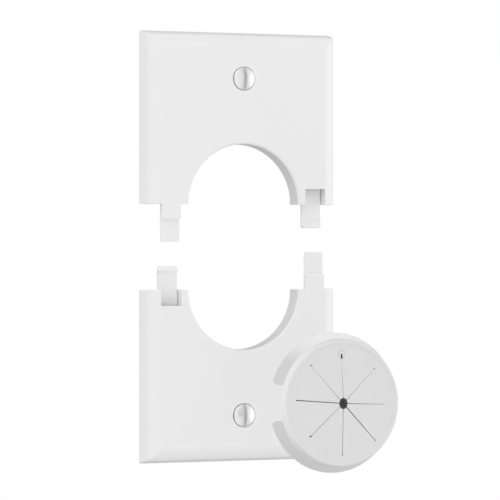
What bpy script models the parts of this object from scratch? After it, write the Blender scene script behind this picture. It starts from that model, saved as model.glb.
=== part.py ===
"""A split single-gang wall plate with a slit cable grommet, laid out as its separate pieces.

Two identical plate halves stand one above the other with a gap between them, each with its mounting
screw. The lower half is the upper one turned half a turn about the plate's normal. Each half carries a
stiff tongue on one side and, in a recess on the other side, a thin latch tongue that snaps into the
other half. The rubber grommet waits in front of the plate, below the hole that it fits.

Frame: metres, +Z up, +X to the right, the plate's face towards -Y, the wall at y = 0. The origin is on
the lower half's back rim, so the plate's bottom edge is just below z = 0.
"""

import math

import bmesh
import bpy
from mathutils import Matrix, Vector

MM = 0.001
FACE_DIRECTION = -1.0

# Plate halves. Depths count back from the front face, heights up from the edge where the halves meet.
PLATE_WIDTH = 69.85 * MM
HALF_HEIGHT = 57.15 * MM
PLATE_DEPTH = 7.0 * MM
FACE_WALL = 2.4 * MM
SIDE_WALL = 1.9 * MM
END_WALL = 1.6 * MM
# The rounded edge, as (inset from the plate's outline, height above the wall) from the rim to the face.
EDGE_PROFILE = (
    (0.0 * MM, 0.0 * MM),
    (0.4 * MM, 2.0 * MM),
    (0.8 * MM, 3.8 * MM),
    (1.25 * MM, 4.8 * MM),
    (2.0 * MM, 5.5 * MM),
    (3.2 * MM, 6.25 * MM),
    (4.7 * MM, 6.86 * MM),
    (5.4 * MM, PLATE_DEPTH),
)
CAVITY_MID = (2.6 * MM, 3.2 * MM)
CAVITY_TOP_INSET = 3.8 * MM
CAVITY_DEPTH = 2.5 * MM
STOCK_BELOW_TONGUE = 2.0 * MM
RIM_CORNER = 0.7 * MM
FACE_CORNER = 0.3 * MM
RIM_CORNER_TIGHTENS = 0.15

# Exploded layout.
GAP = 28.2 * MM
RIM_BELOW_ORIGIN = 1.0 * MM
LOWER_SPLIT = HALF_HEIGHT - RIM_BELOW_ORIGIN
UPPER_SPLIT = LOWER_SPLIT + GAP
MID_GAP = LOWER_SPLIT + GAP / 2.0

# Cable hole and the collar around it.
BORE_RADIUS = 19.95 * MM
BORE_CHAMFER = 0.9 * MM
COLLAR_WALL = 2.0 * MM
COLLAR_DEPTH = 6.7 * MM
ROUND_STEPS = 64

# Tongues, all centred at the same distance from the plate's middle.
TONGUE_OFFSET = 26.15 * MM
CHANNEL_WIDTH = 7.4 * MM
RECESS_HEIGHT = 5.25 * MM
THIN_WALL = 1.15 * MM
POCKET_HEIGHT = 13.2 * MM
PAD_WIDTH = 6.7 * MM
PAD_LENGTH = 4.8 * MM
PAD_STEP = 1.3 * MM
STIFF_TONGUE_LENGTH = 12.4 * MM
TIP_RADIUS = 0.9 * MM
LATCH_WIDTH = 6.8 * MM
LATCH_LENGTH = 7.75 * MM
LATCH_FRONT = 3.4 * MM
LATCH_BACK = 4.8 * MM
LATCH_ROOT_HEIGHT = 13.1 * MM
LIP_HEIGHT = 1.7 * MM
LIP_FRONT = 2.7 * MM
LIP_LEAD_IN = 0.35 * MM
CHEEK_WALL = 1.5 * MM
RIB_DEPTH = 5.8 * MM
ROOT_BLOCK_HEIGHT = 2.6 * MM
PIECE_GAP = 0.3 * MM
CATCH_BOTTOM = 4.2 * MM
CATCH_TOP = 5.4 * MM
CATCH_DEPTH = 3.1 * MM

# Mounting screws: 6-32 with slotted oval heads, at the standard spacing of 83.34 mm on the closed plate.
SCREW_HEIGHT = 83.34 * MM / 2.0
HEAD_RADIUS = 3.75 * MM
HEAD_CROWN = 0.95 * MM
HEAD_RIM = 0.3 * MM
CONE_ANGLE = math.radians(82.0)
SHANK_RADIUS = 1.75 * MM
THREAD_ROOT_RADIUS = 1.35 * MM
THREAD_PITCH = 25.4 * MM / 32.0
THREAD_START = 6.0 * MM
SCREW_LENGTH = 15.9 * MM
SLOT_WIDTH = 1.15 * MM
SLOT_DEPTH = 1.25 * MM
COUNTERSINK_RADIUS = 4.3 * MM
CLEARANCE_RADIUS = 2.1 * MM
BOSS_RADIUS = 5.5 * MM
BOSS_DEPTH = 6.2 * MM
CROWN_STEPS = 4
SCREW_STEPS = 16

# Grommet. Depths count back from the crest of its front bead.
GROMMET_CREST = -79.2 * MM
GROMMET_BELOW_MID = 48.7 * MM
GROMMET_RIGHT = 0.42 * MM
RIM_RADIUS = 19.85 * MM
SKIRT_RADIUS = 22.0 * MM
SKIRT_DEPTH = 6.6 * MM
SKIRT_WALL = 1.35 * MM
RIM_DEPTH = 1.5 * MM
BEAD_DEPTH = 1.1 * MM
MEMBRANE_FRONT = 0.3 * MM
MEMBRANE_BACK = 1.9 * MM
GROOVE_RADIUS = 18.1 * MM
GROOVE_HALF_WIDTH = 0.4 * MM
GROOVE_DEPTH = 0.55 * MM
BEAD_RADIUS = 18.7 * MM
WEB_RADIUS = 12.0 * MM
NOTCH_HALF_WIDTH = 5.6 * MM
NOTCH_CORNER = 1.3 * MM
NOTCH_CORNER_REACH = 2.8 * MM
NOTCH_START = 1.95 * MM
NOTCH_RISE = 0.4 * MM
HUB_RADIUS = 1.65 * MM
SLIT_HALF_WIDTH = 0.15 * MM
PETAL_SWING = math.radians(50.0)
# The slits meet a little right of the grommet's own centre.
SLIT_CENTRE = Vector((0.51 * MM, 0.0))
# Where the eight slits end, as (angle from +X in degrees, distance from their centre), going round.
SLIT_ENDS = (
    (-2.1, 14.0 * MM),
    (44.8, 15.5 * MM),
    (92.3, 15.5 * MM),
    (133.1, 16.7 * MM),
    (175.5, 16.4 * MM),
    (221.5, 15.5 * MM),
    (268.7, 16.2 * MM),
    (313.3, 16.4 * MM),
)
RING_STEPS = 64

# Material colours: (red, green, blue, alpha), roughness, metallic.
PLATE_LOOK = ((0.86, 0.86, 0.86, 1.0), 0.28, 0.0)
SCREW_LOOK = ((0.84, 0.84, 0.84, 1.0), 0.3, 0.0)
RUBBER_LOOK = ((0.74, 0.74, 0.74, 1.0), 0.6, 0.0)


def material(name, look):
    """A Principled material of the given colour, roughness and metallic value."""
    colour, roughness, metallic = look
    made = bpy.data.materials.new(name)
    made.use_nodes = True
    shader = made.node_tree.nodes["Principled BSDF"]
    shader.inputs["Base Color"].default_value = colour
    shader.inputs["Roughness"].default_value = roughness
    shader.inputs["Metallic"].default_value = metallic
    return made


def mesh_object(name, bm):
    """Turn a bmesh into a linked object with outward faces."""
    bmesh.ops.recalc_face_normals(bm, faces=bm.faces)
    mesh = bpy.data.meshes.new(name)
    bm.to_mesh(mesh)
    bm.free()
    made = bpy.data.objects.new(name, mesh)
    bpy.context.collection.objects.link(made)
    return made


def loft(name, rings):
    """A closed solid through rings of equally many points, with flat caps at both ends."""
    bm = bmesh.new()
    loops = [[bm.verts.new(point) for point in ring] for ring in rings]
    count = len(loops[0])
    for near, far in zip(loops, loops[1:]):
        for i in range(count):
            j = (i + 1) % count
            bm.faces.new((near[i], near[j], far[j], far[i]))
    bm.faces.new(loops[0])
    bm.faces.new(loops[-1])
    return mesh_object(name, bm)


def depth_y(depth):
    """The y of a depth behind the plate's front face."""
    return FACE_DIRECTION * PLATE_DEPTH + depth


def slab(name, outline, near, far):
    """A prism of an (x, z) outline between two depths behind the front face."""
    rings = [[Vector((x, depth_y(depth), z)) for x, z in outline] for depth in (near, far)]
    return loft(name, rings)


def rectangle(x0, x1, z0, z1):
    """The four corners of a rectangle in (x, z)."""
    return [(x0, z0), (x1, z0), (x1, z1), (x0, z1)]


def arc(centre, radius, start, end, steps):
    """Points on an arc in (x, z), angles in degrees, both ends included."""
    points = []
    for i in range(steps + 1):
        angle = math.radians(start + (end - start) * i / steps)
        points.append((centre[0] + radius * math.cos(angle), centre[1] + radius * math.sin(angle)))
    return points


def tip_points(middle, width, tip):
    """The rounded lower end of a tongue in (x, z), from its left side to its right side."""
    low = tip + TIP_RADIUS
    reach = width / 2.0 - TIP_RADIUS
    left = arc((middle - reach, low), TIP_RADIUS, 180.0, 270.0, 4)
    right = arc((middle + reach, low), TIP_RADIUS, 270.0, 360.0, 4)
    return left + right


def tongue_outline(middle, width, root, tip):
    """A tongue in (x, z) from its root down to a tip with rounded corners."""
    left = (middle - width / 2.0, root)
    right = (middle + width / 2.0, root)
    return [left, *tip_points(middle, width, tip), right]


def turned(name, profile, steps):
    """A solid turned about the Y axis from a closed loop of (radius, y) points."""
    bm = bmesh.new()
    loops = []
    for i in range(steps):
        angle = 2.0 * math.pi * i / steps
        across, up = math.cos(angle), math.sin(angle)
        loops.append([bm.verts.new((r * across, y, r * up)) for r, y in profile])
    for i in range(steps):
        near, far = loops[i], loops[(i + 1) % steps]
        for j in range(len(profile)):
            k = (j + 1) % len(profile)
            bm.faces.new((near[j], near[k], far[k], far[j]))
    return mesh_object(name, bm)


def turned_solid(name, profile, steps):
    """A solid turned about the Y axis whose open profile starts and ends in a flat round cap."""
    rings = []
    for r, y in profile:
        turn = [2.0 * math.pi * i / steps for i in range(steps)]
        rings.append([Vector((r * math.cos(a), y, r * math.sin(a))) for a in turn])
    return loft(name, rings)


def combine(target, tool, operation):
    """Apply an exact Boolean to the target and remove the tool."""
    modifier = target.modifiers.new(operation, "BOOLEAN")
    modifier.object = tool
    modifier.operation = operation
    modifier.solver = "EXACT"
    shown = target.evaluated_get(bpy.context.evaluated_depsgraph_get())
    result = bpy.data.meshes.new_from_object(shown)
    old = target.data
    target.modifiers.clear()
    target.data = result
    bpy.data.meshes.remove(old)
    bpy.data.objects.remove(tool)


def add(target, tool):
    combine(target, tool, "UNION")


def cut(target, tool):
    combine(target, tool, "DIFFERENCE")


def moved(made, offset):
    """Shift an object's mesh, leaving its origin."""
    made.data.transform(Matrix.Translation(offset))
    return made


def finish_piece(made, name, look, sharp_degrees=30.0):
    """Name a piece, shade it and give it its own material."""
    made.name = name
    made.data.name = name
    made.data.shade_smooth()
    made.data.set_sharp_from_angle(angle=math.radians(sharp_degrees))
    made.data.materials.clear()
    made.data.materials.append(material(name + "_material", look))
    return made


def plate_ring(inset, height, bottom):
    """One rounded-rectangle ring of the plate's outline, open to the split edge at the bottom."""
    half = PLATE_WIDTH / 2.0 - inset
    top = HALF_HEIGHT - inset
    radius = max(RIM_CORNER - RIM_CORNER_TIGHTENS * inset, FACE_CORNER)
    outline = [(-half, bottom), (half, bottom)]
    outline += arc((half - radius, top - radius), radius, 0.0, 90.0, 3)
    outline += arc((radius - half, top - radius), radius, 90.0, 180.0, 3)
    return [Vector((x, -height, z)) for x, z in outline]


def plate_shell():
    """The face and side walls of one half, with its hollow back and stock below for the tongue."""
    bottom = -STIFF_TONGUE_LENGTH - STOCK_BELOW_TONGUE
    shell = loft("shell", [plate_ring(inset, height, bottom) for inset, height in EDGE_PROFILE])
    levels = (
        (SIDE_WALL, -1.0 * MM),
        CAVITY_MID,
        (CAVITY_TOP_INSET, PLATE_DEPTH - CAVITY_DEPTH),
    )
    cut(shell, loft("cavity", [plate_ring(inset, height, END_WALL) for inset, height in levels]))
    return shell


def add_collar(half):
    """The ring around the cable hole, still whole."""
    profile = [
        (BORE_RADIUS + COLLAR_WALL, depth_y(FACE_WALL / 2.0)),
        (BORE_RADIUS + COLLAR_WALL, depth_y(COLLAR_DEPTH)),
    ]
    add(half, turned_solid("collar", profile, ROUND_STEPS))


def add_boss(half):
    """The post that the mounting screw goes through."""
    profile = [(BOSS_RADIUS, depth_y(FACE_WALL / 2.0)), (BOSS_RADIUS, depth_y(BOSS_DEPTH))]
    boss = turned_solid("boss", profile, ROUND_STEPS // 2)
    add(half, moved(boss, Vector((0.0, 0.0, SCREW_HEIGHT))))


def add_latch_housing(half):
    """The block that becomes two cheeks and a root around the latch tongue's channel."""
    reach = CHANNEL_WIDTH / 2.0 + CHEEK_WALL
    top = LATCH_ROOT_HEIGHT + PIECE_GAP + ROOT_BLOCK_HEIGHT
    block = rectangle(TONGUE_OFFSET - reach, TONGUE_OFFSET + reach, -END_WALL, top)
    add(half, slab("block", block, FACE_WALL / 2.0, RIB_DEPTH))


def add_catch(half):
    """The ledge behind the stiff tongue that the other half's latch lip snaps over."""
    left = -TONGUE_OFFSET - PAD_WIDTH / 2.0
    right = left + PAD_WIDTH
    near = depth_y(FACE_WALL / 2.0)
    crest = depth_y(CATCH_DEPTH)
    ramp = (CATCH_BOTTOM + CATCH_TOP) / 2.0
    section = ((near, CATCH_BOTTOM), (near, CATCH_TOP), (crest, CATCH_TOP), (crest, ramp))
    rings = [[Vector((x, y, z)) for y, z in section] for x in (left, right)]
    add(half, loft("catch", rings))


def trim_split_edge(half):
    """Cut the half off at z = 0, leaving the stiff tongue: a flush pad, then a thinner extension."""
    beyond = 1.0 * MM
    back = PLATE_DEPTH + beyond
    side = PLATE_WIDTH
    low = -BORE_RADIUS - COLLAR_WALL - beyond
    tongue = tongue_outline(-TONGUE_OFFSET, PAD_WIDTH, 0.0, -STIFF_TONGUE_LENGTH)
    outline = [(-side, low), (-side, 0.0), *tongue, (side, 0.0), (side, low)]
    cut(half, slab("trim", outline, -beyond, back))
    step = rectangle(-side, 0.0, low, -PAD_LENGTH)
    cut(half, slab("step", step, -beyond, PAD_STEP))


def cut_bore(half):
    """The cable hole with its chamfered front edge."""
    beyond = 1.0 * MM
    radii = (
        (BORE_RADIUS + BORE_CHAMFER + beyond, -beyond),
        (BORE_RADIUS, BORE_CHAMFER),
        (BORE_RADIUS, PLATE_DEPTH + beyond),
    )
    profile = [(radius, depth_y(depth)) for radius, depth in radii]
    cut(half, turned_solid("bore", profile, ROUND_STEPS))


def cut_screw_hole(half):
    """The countersink and clearance hole for the mounting screw."""
    slope = math.tan(CONE_ANGLE / 2.0)
    beyond = 1.0 * MM
    cone_depth = (COUNTERSINK_RADIUS - CLEARANCE_RADIUS) / slope
    profile = [
        (COUNTERSINK_RADIUS + beyond * slope, depth_y(-beyond)),
        (CLEARANCE_RADIUS, depth_y(cone_depth)),
        (CLEARANCE_RADIUS, depth_y(PLATE_DEPTH + beyond)),
    ]
    hole = turned_solid("screw_hole", profile, ROUND_STEPS // 2)
    cut(half, moved(hole, Vector((0.0, 0.0, SCREW_HEIGHT))))


def cut_channels(half):
    """The front recess, the pocket behind the thinned face and the way in for the other latch."""
    beyond = 1.0 * MM
    back = PLATE_DEPTH + beyond
    inner = TONGUE_OFFSET - CHANNEL_WIDTH / 2.0
    outer = TONGUE_OFFSET + CHANNEL_WIDTH / 2.0
    cut(half, slab("recess", rectangle(inner, outer, -beyond, RECESS_HEIGHT), -beyond, back))
    pocket = rectangle(inner, outer, RECESS_HEIGHT / 2.0, POCKET_HEIGHT)
    cut(half, slab("pocket", pocket, THIN_WALL, back))
    doorway = rectangle(-outer, -inner, -STIFF_TONGUE_LENGTH - beyond, END_WALL + beyond)
    cut(half, slab("doorway", doorway, FACE_WALL, back))


def plate_half(name):
    """One whole plate half, its split edge on z = 0 and its face towards -Y."""
    half = plate_shell()
    add_collar(half)
    add_boss(half)
    add_latch_housing(half)
    add_catch(half)
    cut_bore(half)
    cut_screw_hole(half)
    trim_split_edge(half)
    cut_channels(half)
    return finish_piece(half, name, PLATE_LOOK)


def latch_tongue(name):
    """The thin snap tongue, its origin where it bends beside the root block."""
    outline = tongue_outline(TONGUE_OFFSET, LATCH_WIDTH, LATCH_ROOT_HEIGHT, -LATCH_LENGTH)
    tongue = slab("blade", outline, LATCH_FRONT, LATCH_BACK)
    lip_top = LIP_HEIGHT - LATCH_LENGTH
    middle = (LATCH_FRONT + LATCH_BACK) / 2.0
    rings = []
    for depth, rise in ((middle, 0.0), (LIP_FRONT + LIP_LEAD_IN, 0.0), (LIP_FRONT, LIP_LEAD_IN)):
        lip = tongue_outline(TONGUE_OFFSET, LATCH_WIDTH, lip_top, rise - LATCH_LENGTH)
        rings.append([Vector((x, depth_y(depth), z)) for x, z in lip])
    add(tongue, loft("lip", rings))
    moved(tongue, -latch_hinge())
    return finish_piece(tongue, name, PLATE_LOOK)


def latch_hinge():
    """Where the latch tongue bends, in its half's own frame."""
    return Vector((TONGUE_OFFSET, depth_y((LATCH_FRONT + LATCH_BACK) / 2.0), LATCH_ROOT_HEIGHT))


def crown_points():
    """The oval head's domed top, from near its centre out to the rim, as (radius, depth)."""
    points = []
    for i in range(CROWN_STEPS):
        share = (i + 0.3) / CROWN_STEPS
        points.append((HEAD_RADIUS * share, -HEAD_CROWN * (1.0 - share**2)))
    points.append((HEAD_RADIUS, 0.05 * MM))
    return points


def thread_points():
    """The zigzag flank of the thread, as (radius, depth)."""
    points = []
    turns = int((SCREW_LENGTH - THREAD_START) / THREAD_PITCH)
    for i in range(turns):
        start = THREAD_START + i * THREAD_PITCH
        points.append((THREAD_ROOT_RADIUS, start + THREAD_PITCH / 2.0))
        points.append((SHANK_RADIUS, start + THREAD_PITCH))
    return points


def screw(name):
    """A slotted oval-head screw on the Y axis, its depth counted from the plate's face."""
    cone_start = 0.05 * MM + HEAD_RIM
    cone_end = cone_start + (HEAD_RADIUS - SHANK_RADIUS) / math.tan(CONE_ANGLE / 2.0)
    depths = crown_points()
    depths += [(HEAD_RADIUS, cone_start), (SHANK_RADIUS, cone_end), (SHANK_RADIUS, THREAD_START)]
    depths += thread_points()
    depths.append((THREAD_ROOT_RADIUS * 0.8, SCREW_LENGTH))
    made = turned_solid("screw", [(r, depth_y(d)) for r, d in depths], SCREW_STEPS)
    slot = rectangle(-SLOT_WIDTH / 2.0, SLOT_WIDTH / 2.0, -2.0 * HEAD_RADIUS, 2.0 * HEAD_RADIUS)
    cut(made, slab("slot", slot, -2.0 * HEAD_CROWN, SLOT_DEPTH - HEAD_CROWN))
    return finish_piece(made, name, SCREW_LOOK)


def ring_profile():
    """The grommet ring's closed section, as (radius, depth)."""
    front = [(WEB_RADIUS, MEMBRANE_FRONT)]
    for side in (-1.0, 0.0, 1.0):
        dip = MEMBRANE_FRONT if side else GROOVE_DEPTH
        front.append((GROOVE_RADIUS + side * GROOVE_HALF_WIDTH, dip))
    bead = RIM_RADIUS - BEAD_RADIUS
    for i in range(4):
        angle = math.radians(30.0 * i)
        front.append((BEAD_RADIUS + bead * math.sin(angle), BEAD_DEPTH * (1.0 - math.cos(angle))))
    back = [
        (RIM_RADIUS, RIM_DEPTH),
        (SKIRT_RADIUS, SKIRT_DEPTH),
        (SKIRT_RADIUS - SKIRT_WALL, SKIRT_DEPTH),
        (RIM_RADIUS - SKIRT_WALL + 0.5 * MM, MEMBRANE_BACK + 0.8 * MM),
        (GROOVE_RADIUS, MEMBRANE_BACK),
        (WEB_RADIUS, MEMBRANE_BACK),
    ]
    return front + back


def membrane_point(point, depth):
    """A point of the slits' plane, as (x, depth, z) in the grommet's own frame."""
    return Vector((SLIT_CENTRE.x + point.x, depth, SLIT_CENTRE.y + point.y))


def slit_end(index):
    """The end of one slit in the membrane plane, as a 2-D vector."""
    angle, radius = SLIT_ENDS[index % len(SLIT_ENDS)]
    turn = math.radians(angle)
    return Vector((radius * math.cos(turn), radius * math.sin(turn)))


def chord(index):
    """The line that one petal bends along: its middle, direction and inward normal."""
    start = slit_end(index)
    end = slit_end(index + 1)
    along = (end - start).normalized()
    inward = Vector((-along.y, along.x))
    return (start + end) / 2.0, along, inward


def line_meet(point_a, along_a, point_b, along_b):
    """Where two 2-D lines cross."""
    across = along_a.x * along_b.y - along_a.y * along_b.x
    gap = point_b - point_a
    share = (gap.x * along_b.y - gap.y * along_b.x) / across
    return point_a + along_a * share


def petal_outline(index, inset):
    """One petal between two slits, its outer side set in from the bending line."""
    middle, along, inward = chord(index)
    first = slit_end(index).normalized()
    last = slit_end(index + 1).normalized()
    first_side = Vector((-first.y, first.x)) * SLIT_HALF_WIDTH
    last_side = Vector((last.y, -last.x)) * SLIT_HALF_WIDTH
    outer = middle + inward * inset
    corners = [line_meet(outer, along, first_side, first), line_meet(outer, along, last_side, last)]
    corners += [last_side + last * HUB_RADIUS, first_side + first * HUB_RADIUS]
    return corners


def opening_outline():
    """The outline of the ring's inner opening, just outside the petals' bending lines."""
    corners = []
    for index in range(len(SLIT_ENDS)):
        before, after = chord(index - 1), chord(index)
        edge = -SLIT_HALF_WIDTH
        corners.append(
            line_meet(before[0] + before[2] * edge, before[1], after[0] + after[2] * edge, after[1])
        )
    return corners


def grommet_slab(name, near_outline, far_outline, near, far):
    """A solid between two (x, z) outlines at two depths behind the grommet's bead."""
    rings = [
        [membrane_point(p, near) for p in near_outline],
        [membrane_point(p, far) for p in far_outline],
    ]
    return loft(name, rings)


def notch_cutter(side):
    """The cutter for one side notch in the skirt, with rounded corners at the skirt's edge."""
    start = NOTCH_START
    corner = SKIRT_DEPTH - NOTCH_CORNER_REACH
    section = [(start, NOTCH_HALF_WIDTH)]
    for i in range(5):
        angle = math.radians(22.5 * i)
        depth = corner + NOTCH_CORNER_REACH * math.sin(angle)
        section.append((depth, NOTCH_HALF_WIDTH + NOTCH_CORNER * (1.0 - math.cos(angle))))
    section.append((SKIRT_DEPTH + 1.0 * MM, NOTCH_HALF_WIDTH + NOTCH_CORNER))
    section += [(depth, -half) for depth, half in reversed(section)]
    rings = []
    for x in (RIM_RADIUS - 3.0 * MM, SKIRT_RADIUS + 1.0 * MM):
        rings.append([Vector((side * x, depth, half + NOTCH_RISE)) for depth, half in section])
    return loft("notch", rings)


def grommet_ring():
    """The grommet's bead, rim, web and flared skirt."""
    ring = turned("ring", ring_profile(), RING_STEPS)
    outline = opening_outline()
    cut(ring, grommet_slab("opening", outline, outline, -1.0 * MM, SKIRT_DEPTH))
    for side in (-1.0, 1.0):
        cut(ring, notch_cutter(side))
    return finish_piece(ring, "grommet_ring", RUBBER_LOOK)


def petal(index):
    """One petal, its origin on the line that it bends along and its outer edge cut back to clear."""
    undercut = (MEMBRANE_BACK - MEMBRANE_FRONT) * math.tan(PETAL_SWING)
    front = petal_outline(index, SLIT_HALF_WIDTH)
    back = petal_outline(index, SLIT_HALF_WIDTH + undercut)
    made = grommet_slab("petal", front, back, MEMBRANE_FRONT, MEMBRANE_BACK)
    moved(made, -petal_origin(index))
    return finish_piece(made, f"grommet_petal_{index + 1}", RUBBER_LOOK)


def petal_origin(index):
    """The middle of one petal's bending line, in the grommet's own frame."""
    return membrane_point(chord(index)[0], MEMBRANE_FRONT)


def place_half(prefix, split, turn):
    """One plate half with its latch tongue and its screw."""
    half = plate_half(prefix + "_plate_half")
    half.location = (0.0, 0.0, split)
    half.rotation_euler = (0.0, turn, 0.0)
    tongue = latch_tongue(prefix + "_latch_tongue")
    tongue.parent = half
    tongue.location = latch_hinge()
    fastener = screw(prefix + "_screw")
    fastener.parent = half
    fastener.location = (0.0, 0.0, SCREW_HEIGHT)


def place_grommet():
    """The grommet ring with its petals."""
    ring = grommet_ring()
    ring.location = (GROMMET_RIGHT, GROMMET_CREST, MID_GAP - GROMMET_BELOW_MID)
    for index in range(len(SLIT_ENDS)):
        made = petal(index)
        made.parent = ring
        made.location = petal_origin(index)


def main():
    for old in list(bpy.data.objects):
        bpy.data.objects.remove(old)
    place_half("lower", LOWER_SPLIT, math.pi)
    place_half("upper", UPPER_SPLIT, 0.0)
    place_grommet()


main()
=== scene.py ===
"""The looks of a split wall plate and its slit cable grommet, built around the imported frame.

Each CAD node is replaced by a finer piece in the same place: plate halves with smoothly rounded edges and
softened mouldings, snap tongues, screws with a real thread, and a grommet whose eight petals bend.
Lengths are in metres. The plate's face looks towards -Y and the wall is at y = 0.
"""

import math

import bmesh
import bpy
from mathutils import Matrix, Vector


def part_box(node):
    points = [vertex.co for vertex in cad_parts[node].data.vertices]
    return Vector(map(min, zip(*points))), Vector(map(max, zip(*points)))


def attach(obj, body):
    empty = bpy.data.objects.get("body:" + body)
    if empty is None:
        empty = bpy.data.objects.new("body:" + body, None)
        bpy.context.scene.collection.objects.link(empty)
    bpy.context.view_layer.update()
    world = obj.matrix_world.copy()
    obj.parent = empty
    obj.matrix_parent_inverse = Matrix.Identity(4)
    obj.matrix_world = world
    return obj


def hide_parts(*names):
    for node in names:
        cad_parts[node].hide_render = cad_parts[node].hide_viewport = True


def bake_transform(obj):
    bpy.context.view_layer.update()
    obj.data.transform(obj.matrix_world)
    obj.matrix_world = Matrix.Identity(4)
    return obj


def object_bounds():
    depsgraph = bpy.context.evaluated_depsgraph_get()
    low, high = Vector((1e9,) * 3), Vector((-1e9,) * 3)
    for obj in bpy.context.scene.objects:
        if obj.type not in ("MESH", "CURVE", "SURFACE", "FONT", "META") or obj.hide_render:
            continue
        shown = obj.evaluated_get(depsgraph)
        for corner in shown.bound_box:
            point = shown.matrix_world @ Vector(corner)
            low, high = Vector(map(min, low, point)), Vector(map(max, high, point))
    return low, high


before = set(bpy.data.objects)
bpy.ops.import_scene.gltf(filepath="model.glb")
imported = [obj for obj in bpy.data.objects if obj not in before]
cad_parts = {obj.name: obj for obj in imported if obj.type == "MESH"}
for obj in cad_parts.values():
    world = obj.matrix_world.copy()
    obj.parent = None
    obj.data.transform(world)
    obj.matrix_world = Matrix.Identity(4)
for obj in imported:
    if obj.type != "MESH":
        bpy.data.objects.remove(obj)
CAD_BOX = [list(corner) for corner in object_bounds()]

MM = 0.001

# Plate halves, as in the CAD source. Depths count back from the front face, heights from the split edge.
PLATE_WIDTH = 69.85 * MM
HALF_HEIGHT = 57.15 * MM
# The lower half is the upper one turned about the plate's normal.
HALF_TURN = Matrix.Rotation(math.pi, 4, "Y")
PLATE_DEPTH = 7.0 * MM
FACE_WALL = 2.4 * MM
SIDE_WALL = 1.9 * MM
END_WALL = 1.6 * MM
# The rounded edge, as (inset from the outline, height above the wall), from the rim to the face.
EDGE_PROFILE = (
    (0.0 * MM, 0.0 * MM),
    (0.4 * MM, 2.0 * MM),
    (0.8 * MM, 3.8 * MM),
    (1.25 * MM, 4.8 * MM),
    (2.0 * MM, 5.5 * MM),
    (3.2 * MM, 6.25 * MM),
    (4.7 * MM, 6.86 * MM),
)
EDGE_STEPS = 5
FACE_INSET = 5.4 * MM
CAVITY_MID = (2.6 * MM, 3.2 * MM)
CAVITY_TOP_INSET = 3.8 * MM
CAVITY_DEPTH = 2.5 * MM
STOCK_BELOW_TONGUE = 2.0 * MM
RIM_CORNER = 0.7 * MM
FACE_CORNER = 0.3 * MM
RIM_CORNER_TIGHTENS = 0.15
CORNER_STEPS = 8

# Cable hole, collar and screw hole.
BORE_RADIUS = 19.95 * MM
BORE_CHAMFER = 0.9 * MM
BORE_LIP_START = 262.0
BORE_LIP_STEPS = 9
# How far the lip's cutter opens at the face, in chamfers.
BORE_LIP_FLARE = 1.1
COLLAR_WALL = 2.0 * MM
COLLAR_DEPTH = 6.7 * MM
BORE_STEPS = 176
COUNTERSINK_RADIUS = 4.3 * MM
CLEARANCE_RADIUS = 2.1 * MM
BOSS_RADIUS = 5.5 * MM
BOSS_DEPTH = 6.2 * MM
HOLE_STEPS = 72

# Tongues.
TONGUE_OFFSET = 26.15 * MM
CHANNEL_WIDTH = 7.4 * MM
RECESS_HEIGHT = 5.25 * MM
THIN_WALL = 1.15 * MM
POCKET_HEIGHT = 13.2 * MM
PAD_WIDTH = 6.7 * MM
PAD_LENGTH = 4.8 * MM
PAD_STEP = 1.3 * MM
STIFF_TONGUE_LENGTH = 12.4 * MM
TIP_RADIUS = 0.9 * MM
TIP_STEPS = 7
LATCH_WIDTH = 6.8 * MM
LATCH_LENGTH = 7.75 * MM
LATCH_FRONT = 3.4 * MM
LATCH_BACK = 4.8 * MM
LATCH_ROOT_HEIGHT = 13.1 * MM
LIP_HEIGHT = 1.7 * MM
LIP_FRONT = 2.7 * MM
LIP_LEAD_IN = 0.35 * MM
CHEEK_WALL = 1.5 * MM
RIB_DEPTH = 5.8 * MM
ROOT_BLOCK_HEIGHT = 2.6 * MM
PIECE_GAP = 0.3 * MM
CATCH_BOTTOM = 4.2 * MM
CATCH_TOP = 5.4 * MM
CATCH_DEPTH = 3.1 * MM
CROWDED_REACH = 0.5 * MM
CORNER_REACH = 0.02 * MM
# The closed halves' split edges stand this far back, so that their faces don't lie on each other.
SPLIT_CLEARANCE = 0.02 * MM
# How far a cutting tool runs past what it cuts.
BEYOND = 1.0 * MM

# Softened moulding edges, and the shading across them.
SHARP_EDGE = math.radians(34.0)
CREASE = math.radians(50.0)
FLAT_FACE_WEIGHT = 80
BEVEL_STEPS = 2
RUBBER_BEVEL_STEPS = 3
PLATE_SOFTNESS = 0.22 * MM
TONGUE_SOFTNESS = 0.2 * MM
SCREW_SOFTNESS = 0.09 * MM
RUBBER_SOFTNESS = 0.15 * MM
MERGE_DISTANCE = 0.004 * MM
WELD_DISTANCE = 0.0005 * MM
# Material slots after the plain one: of the plastic pieces, where the rounded edges get a painted highlight
# and the cable hole's wall painted shade, and of the screws, where the driver slot gets painted shade.
EDGE_HIGHLIGHT_SLOT = 1
WALL_SHADE_SLOT = 2
DRIVER_SLOT_SHADE = 1
# The share of a face's normal along an axis: above the first the face looks along that axis, and below
# the second it runs along it.
SQUARE_ON = 0.9
WALL_LEAN = 0.3

# Screws, at the standard spacing on the closed plate.
SCREW_SPACING = 83.34 * MM
SCREW_PLACE = Vector((0.0, 0.0, SCREW_SPACING / 2.0))
HEAD_RADIUS = 3.75 * MM
HEAD_CROWN = 0.95 * MM
HEAD_RIM = 0.3 * MM
HEAD_SEAT = 0.05 * MM
CONE_ANGLE = math.radians(82.0)
SHANK_RADIUS = 1.75 * MM
THREAD_ROOT_RADIUS = 1.35 * MM
THREAD_PITCH = 25.4 * MM / 32.0
THREAD_START = 6.0 * MM
THREAD_RUN_IN = 0.8 * MM
THREAD_FLAT = 1.15
THREAD_STEPS = 10
SCREW_LENGTH = 15.9 * MM
POINT_LENGTH = 0.9 * MM
POINT_SHARE = 0.72
SLOT_WIDTH = 1.15 * MM
SLOT_DEPTH = 1.25 * MM
CROWN_STEPS = 14
CROWN_FIRST_STEP = 0.3
SCREW_STEPS = 72

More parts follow.
